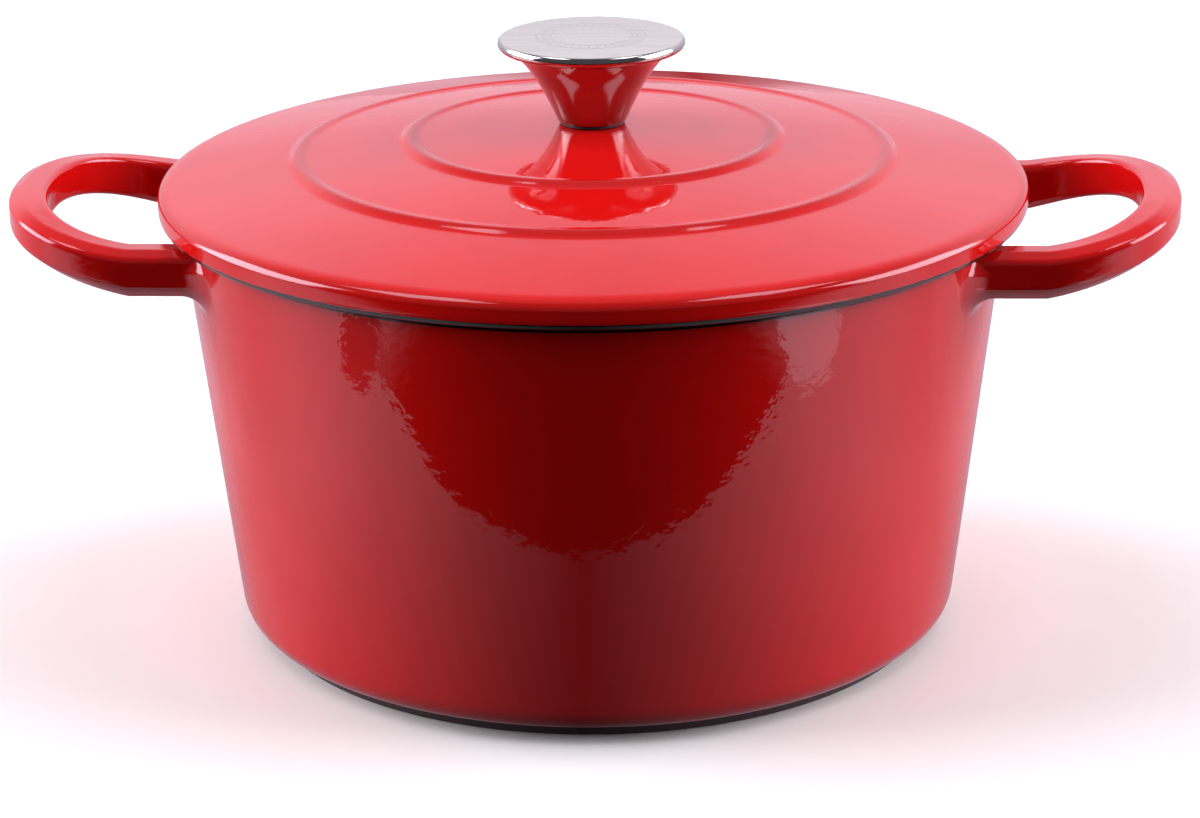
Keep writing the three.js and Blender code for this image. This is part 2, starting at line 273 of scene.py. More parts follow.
class Graph:
    """A node tree being wired up, with short calls for the nodes that the finishes use."""

    def __init__(self, tree: bpy.types.NodeTree) -> None:
        """Takes the tree over as it is."""
        self.tree = tree

    def add(self, kind: str, fed: dict | None = None, **settings: object) -> bpy.types.Node:
        """A new node.

        Args:
            kind: Its type, without the word that every shader node's type starts with.
            fed: What goes into its inputs, by name or number.
            settings: Its properties.

        Returns:
            The node.
        """
        node = self.tree.nodes.new(kind if kind.startswith("NodeGroup") else "ShaderNode" + kind)
        for label, value in settings.items():
            setattr(node, label, value)
        for key, value in (fed or {}).items():
            self.feed(node.inputs[key], value)
        return node

    def feed(self, socket: Socket, value: object) -> None:
        """Links a socket, or sets a number or colour, on an input.

        Args:
            socket: The input.
            value: The link's source, the number or the colour.
        """
        if isinstance(value, Socket):
            self.tree.links.new(value, socket)
        elif isinstance(value, tuple) and len(value) == 3 and len(socket.default_value) == 4:
            socket.default_value = (*value, 1.0)
        else:
            socket.default_value = value

    def math(self, operation: str, first: object, second: object = 0.0) -> Socket:
        """A math node's value."""
        return self.add("Math", {0: first, 1: second}, operation=operation).outputs[0]

    def plus(self, *terms: object) -> Socket:
        """The sum of the terms."""
        return functools.reduce(functools.partial(self.math, "ADD"), terms)

    def times(self, *factors: object) -> Socket:
        """The product of the factors."""
        return functools.reduce(functools.partial(self.math, "MULTIPLY"), factors)

    def minus(self, first: object, second: object) -> Socket:
        """The first value less the second."""
        return self.math("SUBTRACT", first, second)

    def vector(self, operation: str, first: object, second: Colour = (0.0, 0.0, 0.0)) -> Socket:
        """A vector math node's result: its value for a product or a length, else its vector."""
        node = self.add("VectorMath", {0: first, 1: second}, operation=operation)
        return node.outputs["Value" if operation in ("DOT_PRODUCT", "LENGTH") else "Vector"]

    def split(self, place: object) -> bpy.types.bpy_prop_collection:
        """The X, Y and Z outputs of a place."""
        return self.add("SeparateXYZ", {0: place}).outputs

    def axis_distance(self, place: object) -> Socket:
        """How far a place is from the vertical axis."""
        return self.vector("LENGTH", self.vector("MULTIPLY", place, (1.0, 1.0, 0.0)))

    def ramp(self, value: object, low: float, high: float, first: float = 0.0, last: float = 1.0,
             eased: bool = True) -> Socket:
        """A value taken from the range low..high to first..last, held at both ends, eased or straight."""
        fed = {"Value": value, "From Min": low, "From Max": high, "To Min": first, "To Max": last}
        kind = "SMOOTHSTEP" if eased else "LINEAR"
        return self.add("MapRange", fed, interpolation_type=kind, clamp=True).outputs["Result"]

    def noise(self, place: object, scale: object, detail: float = 2.0,
              rough: float = 0.5) -> Socket:
        """A noise value from 0 to 1, with the scale in repeats to a metre."""
        fed = {"Vector": place, "Scale": scale, "Detail": detail, "Roughness": rough}
        return self.add("TexNoise", fed).outputs["Fac"]

    def blend(self, share: object, first: object, second: object, mode: str = "MIX") -> Socket:
        """Two colours mixed by a share."""
        fed = {"Factor": share, 6: first, 7: second}
        return self.add("Mix", fed, data_type="RGBA", blend_type=mode).outputs[2]

    def attribute(self, zone: Zone) -> Socket:
        """A zone's value at the point."""
        return self.add("Attribute", attribute_name=zone.value).outputs["Fac"]

    def place(self) -> Socket:
        """The point in the object's own frame."""
        return self.add("TexCoord").outputs["Object"]

    def bump(self, height: object, distance: float, under: object = None) -> Socket:
        """A normal from a height, laid over another normal if one is given.

        Args:
            height: The height, 0 to 1.
            distance: What a height of 1 is, in metres.
            under: The normal below it.

        Returns:
            The new normal.
        """
        fed = {"Distance": distance, "Height": height}
        if under is not None:
            fed["Normal"] = under
        return self.add("Bump", fed).outputs["Normal"]

    def use(self, group: bpy.types.NodeTree, **given: object) -> bpy.types.Node:
        """A group placed in this tree with its inputs fed by name, where _ stands for a space."""
        fed = {label.replace("_", " "): value for label, value in given.items()}
        return self.add("Group", fed, node_tree=group)


def new_group(name: str, scale: str,
              masks: tuple[str, ...]) -> tuple[Graph, Socket, Socket, bpy.types.Node]:
    """An empty shader node group that takes a place and a scale and gives masks.

    Args:
        name: The group's name.
        scale: The name of its scale input.
        masks: The names of its outputs.

    Returns:
        Its graph, the place, the scale, and its output node.
    """
    tree = bpy.data.node_groups.new(name, "ShaderNodeTree")
    tree.interface.new_socket(name="Place", in_out="INPUT", socket_type="NodeSocketVector")
    tree.interface.new_socket(name=scale, in_out="INPUT", socket_type="NodeSocketFloat")
    for label in masks:
        tree.interface.new_socket(name=label, in_out="OUTPUT", socket_type="NodeSocketFloat")
    graph = Graph(tree)
    given = graph.add("NodeGroupInput")
    return graph, given.outputs["Place"], given.outputs[scale], graph.add("NodeGroupOutput")


class Effects:
    """The surface effects that several finishes share, each a node group built once."""

    def __init__(self) -> None:
        """Builds the groups."""
        self.flow = self._flow()
        self.wear = self._wear()
        self.brushing = self._brushing()

    @staticmethod
    def _flow() -> bpy.types.NodeTree:
        """How glass enamel lies after firing: slow ripples that run down a little, and orange peel.

        Returns:
            The group.
        """
        graph, place, scale, out = new_group("enamel_flow", "Ripple Scale", ("Height", "Mottle"))
        drawn = graph.vector("MULTIPLY", place, (1.0, 1.0, 0.45))
        ripple = graph.noise(drawn, scale, 1.0, 0.4)
        peel = graph.noise(place, graph.times(scale, 4.2))
        graph.feed(out.inputs["Height"], graph.plus(ripple, graph.times(peel, 0.34)))
        graph.feed(out.inputs["Mottle"], graph.noise(place, graph.times(scale, 0.35), 3.0, 0.6))
        return graph.tree

    @staticmethod
    def _wear() -> bpy.types.NodeTree:
        """Handling marks: soft smudges and a scatter of short fine scratches, both as masks.

        Returns:
            The group.
        """
        graph, place, scale, out = new_group("handling_wear", "Mark Scale", ("Smudge", "Scratch"))
        smudge = graph.ramp(graph.noise(place, scale, 4.0, 0.65), 0.42, 0.72)
        drawn = graph.vector("MULTIPLY", place, (1.0, 3.1, 1.7))
        lines = graph.add("TexVoronoi", feature="DISTANCE_TO_EDGE")
        graph.feed(lines.inputs["Vector"], drawn)
        graph.feed(lines.inputs["Scale"], graph.times(scale, 3.3))
        thin = graph.ramp(lines.outputs["Distance"], 0.0, 0.012, 1.0, 0.0)
        sparse = graph.ramp(graph.noise(place, graph.times(scale, 1.7)), 0.55, 0.7)
        graph.feed(out.inputs["Smudge"], smudge)
        graph.feed(out.inputs["Scratch"], graph.times(thin, sparse))
        return graph.tree

    @staticmethod
    def _brushing() -> bpy.types.NodeTree:
        """Fine grinding lines along X, or round the axis when the place holds radius and height.

        Returns:
            The group.
        """
        graph, place, scale, out = new_group("grinding_lines", "Line Scale", ("Height", "Tone"))
        along = graph.vector("MULTIPLY", place, (0.03, 1.0, 1.0))
        fine = graph.noise(along, scale, 3.0, 0.7)
        broad = graph.noise(along, graph.times(scale, 0.14), 2.0, 0.6)
        graph.feed(out.inputs["Height"], graph.plus(fine, graph.times(broad, 0.6)))
        graph.feed(out.inputs["Tone"], broad)
        return graph.tree


@dataclass(frozen=True)
class Finish:
    """A finish of a piece or of the floor. Each kind wires up its own shader."""

    name: str

    def wire(self, graph: Graph, shader: bpy.types.Node, effects: Effects) -> None:
        """Feeds the shader."""
        raise NotImplementedError

    def make(self, effects: Effects) -> bpy.types.Material:
        """The finish as a node material with one plain shader.

        Args:
            effects: The shared node groups.

        Returns:
            The finished material.
        """
        material = bpy.data.materials.new(self.name)
        material.use_nodes = True
        tree = material.node_tree
        self.wire(Graph(tree), tree.nodes["Principled BSDF"], effects)
        return material


@dataclass(frozen=True)
class FiredEnamel(Finish):
    """Glass enamel on cast iron: red outside, cream inside, black on the rim and dark underneath."""

    ripple_depth: float
    red: Colour = (0.64, 0.006, 0.005)
    deep_red: Colour = (0.50, 0.003, 0.003)
    thin_red: Colour = (0.50, 0.006, 0.004)
    cream: Colour = (0.74, 0.66, 0.52)
    cream_speck: Colour = (0.60, 0.50, 0.36)
    rim_black: Colour = (0.006, 0.003, 0.003)
    foot_black: Colour = (0.035, 0.012, 0.011)
    gloss: float = 0.02
    smudge_dulling: float = 0.035
    scratch_dulling: float = 0.10
    rim_dulling: float = 0.1
    foot_dulling: float = 0.42
    grit_depth: float = 0.0002
    ripple_scale: float = 60.0

    def wire(self, graph: Graph, shader: bpy.types.Node, effects: Effects) -> None:
        """Feeds the shader, with the zones read from the casting's point values.

        Args:
            graph: The material's graph.
            shader: Its shader.
            effects: The shared node groups.
        """
        place = graph.place()
        flow = graph.use(effects.flow, Place=place, Ripple_Scale=self.ripple_scale)
        wear = graph.use(effects.wear, Place=place, Mark_Scale=24.0)
        ragged = graph.ramp(graph.noise(place, 260.0, 3.0), 0.25, 0.75, -0.12, 0.12)

        def mask(zone: Zone) -> Socket:
            """The zone with the slightly ragged edge that dipped or sprayed enamel has."""
            return graph.ramp(graph.plus(graph.attribute(zone), ragged), 0.42, 0.58)

        mottle = graph.ramp(flow.outputs["Mottle"], 0.3, 0.7, 0.0, 0.3)
        red = graph.blend(mottle, self.red, self.deep_red)
        red = graph.blend(graph.attribute(Zone.THIN), red, self.thin_red)
        specks = graph.ramp(graph.noise(place, 900.0, 2.0), 0.62, 0.72, 0.0, 0.5)
        cream = graph.blend(specks, self.cream, self.cream_speck)
        colour = graph.blend(mask(Zone.INSIDE), red, cream)
        colour = graph.blend(mask(Zone.FOOT), colour, self.foot_black)
        colour = graph.blend(mask(Zone.RIM), colour, self.rim_black)
        graph.feed(shader.inputs["Base Color"], colour)

        worn = graph.times(wear.outputs["Smudge"], self.smudge_dulling)
        scratched = graph.times(wear.outputs["Scratch"], self.scratch_dulling)
        matt = graph.math("MAXIMUM", graph.times(mask(Zone.RIM), self.rim_dulling),
                          graph.times(mask(Zone.FOOT), self.foot_dulling))
        graph.feed(shader.inputs["Roughness"], graph.plus(worn, scratched, self.gloss, matt))
        grit = graph.times(graph.noise(place, 1500.0, 3.0), mask(Zone.FOOT))
        normal = graph.bump(flow.outputs["Height"], self.ripple_depth)
        graph.feed(shader.inputs["Normal"], graph.bump(grit, self.grit_depth, normal))
        shader.inputs["IOR"].default_value = 1.52


class Metal(Enum):
    """How a steel surface was finished."""

    POLISHED = "polished"
    SATIN = "satin"
    PLATED = "plated"


@dataclass(frozen=True)
class Steel(Finish):
    """Steel with its grinding lines, and for the cap an engraved ring of short marks."""

    kind: Metal
    colour: Colour
    shade: Colour
    gloss: float
    line_scale: float
    line_depth: float
    ring_radius: float = 0.0
    mark_count: float = 36.0

    def _line_place(self, graph: Graph, place: Socket) -> Socket:
        """Where the lines are read: across the piece for satin, else by radius and height.

        Args:
            graph: The material's graph.
            place: The point in the piece's own frame.

        Returns:
            The place that the lines' noise reads.
        """
        if self.kind is Metal.SATIN:
            return place
        joined = graph.add("CombineXYZ", {"Y": graph.axis_distance(place), "Z": graph.split(place)["Z"]})
        return joined.outputs[0]

    def _engraving(self, graph: Graph, place: Socket) -> Socket:
        """A ring of short radial marks between two fine circles, as a mask.

        Args:
            graph: The material's graph.
            place: The point in the piece's own frame.

        Returns:
            The mask.
        """
        parts = graph.split(place)
        angle = graph.math("ARCTAN2", parts["Y"], parts["X"])
        marks = graph.ramp(graph.math("COSINE", graph.times(angle, self.mark_count)), 0.75, 0.95)
        off = graph.math("ABSOLUTE", graph.minus(graph.axis_distance(place), self.ring_radius * MM))
        band = graph.ramp(off, 0.0011, 0.0013, 1.0, 0.0)
        circles = graph.ramp(graph.math("ABSOLUTE", graph.minus(off, 0.0021)), 0.00012, 0.0003, 1.0, 0.0)
        return graph.math("MAXIMUM", graph.times(marks, band), circles)

    def wire(self, graph: Graph, shader: bpy.types.Node, effects: Effects) -> None:
        """Feeds the shader.

        Args:
            graph: The material's graph.
            shader: Its shader.
            effects: The shared node groups.
        """
        place = graph.place()
        along = self._line_place(graph, place)
        lines = graph.use(effects.brushing, Place=along, Line_Scale=self.line_scale)
        wear = graph.use(effects.wear, Place=place, Mark_Scale=70.0)
        tone = graph.ramp(lines.outputs["Tone"], 0.3, 0.7)
        colour = graph.blend(tone, self.colour, self.shade)
        rough = graph.plus(graph.times(wear.outputs["Smudge"], 0.07), self.gloss,
                           graph.times(wear.outputs["Scratch"], 0.12))
        normal = graph.bump(lines.outputs["Height"], self.line_depth)
        if self.ring_radius:
            cut = self._engraving(graph, place)
            colour = graph.blend(graph.times(cut, 0.35), colour, self.shade, "MULTIPLY")
            rough = graph.plus(rough, graph.times(cut, 0.15))
            normal = graph.bump(graph.minus(1.0, cut), 0.00006, normal)
        graph.feed(shader.inputs["Base Color"], colour)
        graph.feed(shader.inputs["Roughness"], rough)
        graph.feed(shader.inputs["Normal"], normal)
        shader.inputs["Metallic"].default_value = 1.0


@dataclass(frozen=True)
class Rubber(Finish):
    """Moulded black rubber with a dusty bloom. On the gasket its black also stands in for the shade in the
    crease under the knob: painted shade.
    """

    colour: Colour = (0.018, 0.018, 0.018)
    bloom: Colour = (0.05, 0.05, 0.048)

    def wire(self, graph: Graph, shader: bpy.types.Node, effects: Effects) -> None:
        """Feeds the shader.

        Args:
            graph: The material's graph.
            shader: Its shader.
            effects: The shared node groups.
        """
        place = graph.place()
        dust = graph.use(effects.wear, Place=place, Mark_Scale=160.0).outputs["Smudge"]
        graph.feed(shader.inputs["Base Color"], graph.blend(dust, self.colour, self.bloom))
        graph.feed(shader.inputs["Roughness"], graph.ramp(graph.noise(place, 700.0), 0.3, 0.7, 0.55, 0.75))
        graph.feed(shader.inputs["Normal"], graph.bump(graph.noise(place, 2500.0, 3.0), 0.00004))


@dataclass(frozen=True)
class Paint(Finish):
    """The studio floor's pale matt paint."""

    colour: Colour = (0.94, 0.99, 0.88)
    cloud: Colour = (0.88, 0.92, 0.83)

    def wire(self, graph: Graph, shader: bpy.types.Node, effects: Effects) -> None:
        """Feeds the shader.

        Args:
            graph: The material's graph.
            shader: Its shader.
            effects: The shared node groups, which this finish does not use.
        """
        share = graph.ramp(graph.noise(graph.place(), 3.0, 3.0), 0.3, 0.7, 0.0, 0.03)
        graph.feed(shader.inputs["Base Color"], graph.blend(share, self.colour, self.cloud))
        shader.inputs["Roughness"].default_value = 0.5
        shader.inputs["Specular IOR Level"].default_value = 0.25


@dataclass
class Wardrobe:
    """Every finish of the object, made once."""

    effects: Effects

    def __post_init__(self) -> None:
        """Makes the materials."""
        polished = Steel("polished_steel", Metal.POLISHED, (0.54, 0.53, 0.50), (0.48, 0.47, 0.45),
                         0.07, 900.0, 0.000004)
        satin = Steel("brushed_steel", Metal.SATIN, (0.73, 0.73, 0.63), (0.66, 0.65, 0.57),
                      0.27, 4200.0, 0.000002, ring_radius=15.0)
        plated = Steel("zinc_steel", Metal.PLATED, (0.56, 0.56, 0.54), (0.42, 0.42, 0.40),
                       0.26, 1500.0, 0.000008)
        self.pot_enamel = FiredEnamel("pot_enamel", ripple_depth=0.00028).make(self.effects)
        self.lid_enamel = FiredEnamel("lid_enamel", ripple_depth=0.00007).make(self.effects)
        self.polished = polished.make(self.effects)
        self.satin = satin.make(self.effects)
        self.plated = plated.make(self.effects)
        self.rubber = Rubber("gasket_rubber").make(self.effects)


def measured(node: str) -> tuple[float, float, float]:
    """The foot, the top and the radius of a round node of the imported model, in millimetres."""
    low, high = (np.array(corner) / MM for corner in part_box(node))
    return float(low[2]), float(high[2]), float(max(-low[0], high[0]))


def fitted(obj: bpy.types.Object, body: Body, node: str, material: bpy.types.Material) -> None:
    """Dresses a piece, puts it on its body and lets it stand for its node.

    Args:
        obj: The piece.
        body: The body it rides on.
        node: The node it stands for.
        material: Its finish.
    """
    obj.data.materials.append(material)
    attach(obj, body.value)
    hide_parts(node)
    log.info("%s: %d faces, stands for %s", obj.name, len(obj.data.polygons), node)


# ---- The pot ----


@dataclass
class Pot:
    """The tapered casting with its foot ring and its two loop handles."""

    rim_radius: float = 130.6
    base_radius: float = 114.5
    rim_height: float = 136.8
    wall: float = 3.6
    floor: float = 4.5
    base_corner: float = 9.0
    cavity_corner: float = 10.0
    rim_rounding: float = 1.2
    foot_inset: float = 7.0
    foot_width: float = 7.0
    foot_height: float = 3.2
    foot_rounding: float = 1.1
    bare_rim: float = 1.9
    loop_projection: float = 47.9
    loop_shoulder: float = 9.4
    loop_half_span: float = 50.5
    loop_squareness: float = 2.3
    band_width: float = 12.0
    band_height: float = 15.0
    band_end_height: float = 11.5
    loop_drop: float = 0.8
    loop_rise: float = 7.8
    loop_rise_power: float = 1.2
    root_fillet: float = 6.5
    segments: int = 320
    band_points: int = 88

    def __post_init__(self) -> None:
        """Works out the wall's slope."""
        self.slope = (self.rim_radius - self.base_radius) / self.rim_height
        self.lean = math.atan(self.slope)

    def wall_radius(self, z: Array) -> Array:
        """Outside radius at height z: the base radius plus slope times z."""
        return self.base_radius + self.slope * z

    def cavity_radius(self, z: Array) -> Array:
        """Inside radius at height z: the outside less the wall measured level."""
        return self.wall_radius(z) - self.wall / math.cos(self.lean)

    @staticmethod
    def _leaning(radius_at: Callable, start: float, end: float, count: int) -> Array:
        """A stretch of a leaning wall between two heights."""
        return line((radius_at(start), start), (radius_at(end), end), count)

    def _corner(self, radius_at: Callable, level: float, corner: float) -> Array:
        """The arc between a flat at that level and the leaning wall, tangent to both."""
        middle = level + corner
        inset = corner / math.cos(self.lean)
        return arc((radius_at(middle) - inset, middle), corner, -90, -math.degrees(self.lean), 14)

    def _outline(self) -> Array:
        """The section from the middle of the underside, up the wall, over the rim and back to the axis.

        Returns:
            Radius and height of each point.
        """
        r, top = self.foot_rounding, self.foot_height
        outer = self.base_radius - self.foot_inset
        inner = outer - self.foot_width
        lean = math.degrees(self.lean)
        rim, inside = self.rim_rounding, self.cavity_radius(self.rim_height)
        floor_top = self.foot_height + self.floor
        wall_foot, inner_foot = 14.0, 20.0
        below, wall_top = self.rim_height - 5.8, self.rim_height - 1.4
        cavity = self._corner(self.cavity_radius, floor_top, self.cavity_corner)[::-1]
        corner = self._corner(self.wall_radius, top, self.base_corner)
        corner = corner[corner[:, 0] > outer + r / 2]
        return chain(
            line((0, top), (inner - r, top), 10),
            arc((inner - r, top - r), r, 90, 0, 6),
            arc((inner + r, r), r, 180, 270, 6),
            arc((outer - r, r), r, 270, 360, 6),
            bezier((outer, top - r), (outer, corner[0][1]), tuple(corner[0]), count=6),
            corner,
            self._leaning(self.wall_radius, wall_foot, below, 60),
            self._leaning(self.wall_radius, below, wall_top, 14),
            arc((self.rim_radius - rim, self.rim_height - rim), rim, -lean, 90, 8),
            arc((inside + rim, self.rim_height - rim), rim, 90, 180 - lean, 8),
            self._leaning(self.cavity_radius, wall_top, below, 14),
            self._leaning(self.cavity_radius, below, inner_foot, 40),
            cavity,
            line((cavity[-1][0], floor_top), (0, floor_top), 16),
        )

    def _zones(self, outline: Array) -> dict[str, Array]:
        """Where along the outline the bare rim, the inside and the foot are, as values from 0 to 1.

        Args:
            outline: The section's points.

        Returns:
            A value for each point by zone name.
        """
        r, z = outline.T
        order = np.arange(len(outline))
        past_rim = order > np.argmax(z)
        to_rim = z - (self.rim_height - self.bare_rim)
        within_foot = r < self.base_radius - self.foot_inset
        return {
            Zone.RIM.value: smooth(-0.5, 0.5, to_rim + np.where(past_rim, 0.9, 0.0)),
            Zone.INSIDE.value: past_rim.astype(float),
            Zone.FOOT.value: np.where(past_rim, 0.0, np.maximum(1 - smooth(2.6, 3.8, z), within_foot)),
            Zone.THIN.value: np.where(past_rim, 0.0, smooth(132.5, 135.0, z)),
        }

    def _section(self) -> Array:
        """The handle band's section in shares of its half width and half height, outwards and up.

        It is flat on top, with a sloping facet on the outer edge above and below.

        Returns:
            Points once round the band.
        """
        corners = np.array([[-1.0, 1.0], [-1.0, -1.0], [0.42, -1.0],
                            [1.0, -0.56], [1.0, 0.72], [0.33, 1.0]])
        radii = np.array([0.36, 0.36, 0.20, 0.20, 0.20, 0.12])
        return rounded_outline(corners, radii, self.band_points)

    def _path(self) -> tuple[Array, Array, Array]:
        """The +X loop's middle line outside the shoulder, in plan.

        It is x = shoulder + reach |cos a|^(2/n), y = half span sign(sin a) |sin a|^(2/n), for angles a from
        90 to -90 degrees.

        Returns:
            Places in plan, unit outward directions, and the share of the way from shoulder to end.
        """
        power = 2 / self.loop_squareness
        a = np.radians(90) * np.sin(np.linspace(np.pi / 2, -np.pi / 2, 97))
        reach = self.loop_projection - self.loop_shoulder
        c, s = np.abs(np.cos(a)), np.sin(a)
        out = c**power
        bend = np.stack([self.rim_radius + self.loop_shoulder + reach * out,
                         self.loop_half_span * np.sign(s) * np.abs(s) ** power], axis=1)
        heading = np.gradient(bend, axis=0)
        heading[0] = (1.0, 0.0)
        heading[-1] = (-1.0, 0.0)
        heading /= np.linalg.norm(heading, axis=1)[:, None]
        return bend, np.stack([-heading[:, 1], heading[:, 0]], axis=1), out

    def _band(self, out: Array) -> tuple[Array, Array]:
        """Middle height and half height of the band at a share of the way out.

        Its top is at the rim less the drop plus the rise times that share to a power, and its height goes
        evenly from the arm's to the end's.
        """
        top = self.rim_height - self.loop_drop + self.loop_rise * out**self.loop_rise_power
        half = (self.band_height * (1 - out) + self.band_end_height * out) / 2
        return top - half, half

    def _root(self, section: Array) -> Array:
        """The +Y arm's root: rows of points from inside the wall, along a fillet and out to the arm.

        Row t of the fillet is a Hermite curve from a point on the wall, where it runs along the wall
        towards the arm, to a point on the arm, where it runs along the arm. The wall point is the arm's own
        outline pushed out along the outline's normal.

        Args:
            section: The arm's outline in shares of half width and half height.

        Returns:
            Points by row, place round the section, and coordinate.
        """
        middle, half = self._band(np.array(0.0))
        y = self.loop_half_span + section[:, 0] * self.band_width / 2
        z = middle + section[:, 1] * half
        outline = np.stack([y, z], axis=1)
        side = np.roll(outline, -1, axis=0) - np.roll(outline, 1, axis=0)
        normal = np.stack([-side[:, 1], side[:, 0]], axis=1)
        normal /= np.linalg.norm(normal, axis=1)[:, None]
        centre = np.array([self.loop_half_span, float(middle)])
        facing = np.einsum("ij,ij->i", normal, outline - centre)
        normal *= np.where(facing.mean() > 0, 1.0, -1.0)
        room_above = np.clip((self.rim_height - self.bare_rim - 0.2 - z) / 12, 0.0, 1.0)
        size = self.root_fillet * np.where(normal[:, 1] > 0, np.maximum(room_above, 0.05), 1.0)
        size = np.convolve(np.concatenate([size[-3:], size, size[:3]]), np.ones(7) / 7, "valid")
        wall_y = y + normal[:, 0] * size
        wall_z = np.minimum(z + normal[:, 1] * size, self.rim_height - 0.6)

        def on_wall(py: Array, pz: Array, sink: float) -> Array:
            """The point of the wall at that y and z, sunk into it."""
            return np.sqrt((self.wall_radius(pz) - sink) ** 2 - py**2)

        start = np.stack([on_wall(wall_y, wall_z, 0.03), wall_y, wall_z], axis=1)
        end = np.stack([on_wall(y, z, 0.0) + size, y, z], axis=1)
        radius = self.wall_radius(wall_z)
        run = (radius * self.slope * normal[:, 1] - wall_y * normal[:, 0]) / start[:, 0]
        along_wall = -np.stack([run, normal[:, 0], normal[:, 1]], axis=1)
        along_arm = np.tile([1.0, 0.0, 0.0], (len(y), 1))
        pull = 1.66 * size[:, None]
        t = np.linspace(0, 1, 14)[:, None, None]
        fillet = ((2 * t**3 - 3 * t**2 + 1) * start + (t**3 - 2 * t**2 + t) * pull * along_wall
                  + (3 * t**2 - 2 * t**3) * end + (t**3 - t**2) * pull * along_arm)
        buried = start.copy()
        buried[:, 0] = on_wall(wall_y, wall_z, self.wall / 2)
        shoulder = np.stack([np.full(len(y), self.rim_radius + self.loop_shoulder), y, z], axis=1)
        reach = np.linspace(0, 1, 7)[1:-1, None, None]
        return np.concatenate([buried[None], fillet, end * (1 - reach) + shoulder * reach])

    def _loop(self) -> Surface:
        """The +X loop: root, arm, bend, arm and root as one tube.

        Returns:
            The closed surface.
        """
        section = self._section()
        plan, outward, out = self._path()
        middle, half = self._band(out)
        across = section[None, :, 0] * self.band_width / 2
        grid = np.stack([
            plan[:, :1] + across * outward[:, :1],
            plan[:, 1:] + across * outward[:, 1:],
            middle[:, None] + section[None, :, 1] * half[:, None],
        ], axis=-1)
        root = self._root(section)
        far_root = root[::-1] * np.array([1.0, -1.0, 1.0])
        return swept(np.concatenate([root, grid, far_root]))

    def build(self, finishes: Wardrobe) -> None:
        """Makes the casting and fits it.

        Args:
            finishes: The object's materials.
        """
        outline = self._outline()
        vessel = turned(outline, self.segments, self._zones(outline))
        loop = self._loop()
        vessel_obj = vessel.made("pot_vessel")
        fitted(vessel_obj, Body.POT, "pot_body", finishes.pot_enamel)
        for name, degrees in (("loop_handle_right", 0.0), ("loop_handle_left", 180.0)):
            handle = loop.turned_about(degrees).made(name)
            fitted(handle, Body.POT, "pot_body", finishes.pot_enamel)


# ---- The lid ----


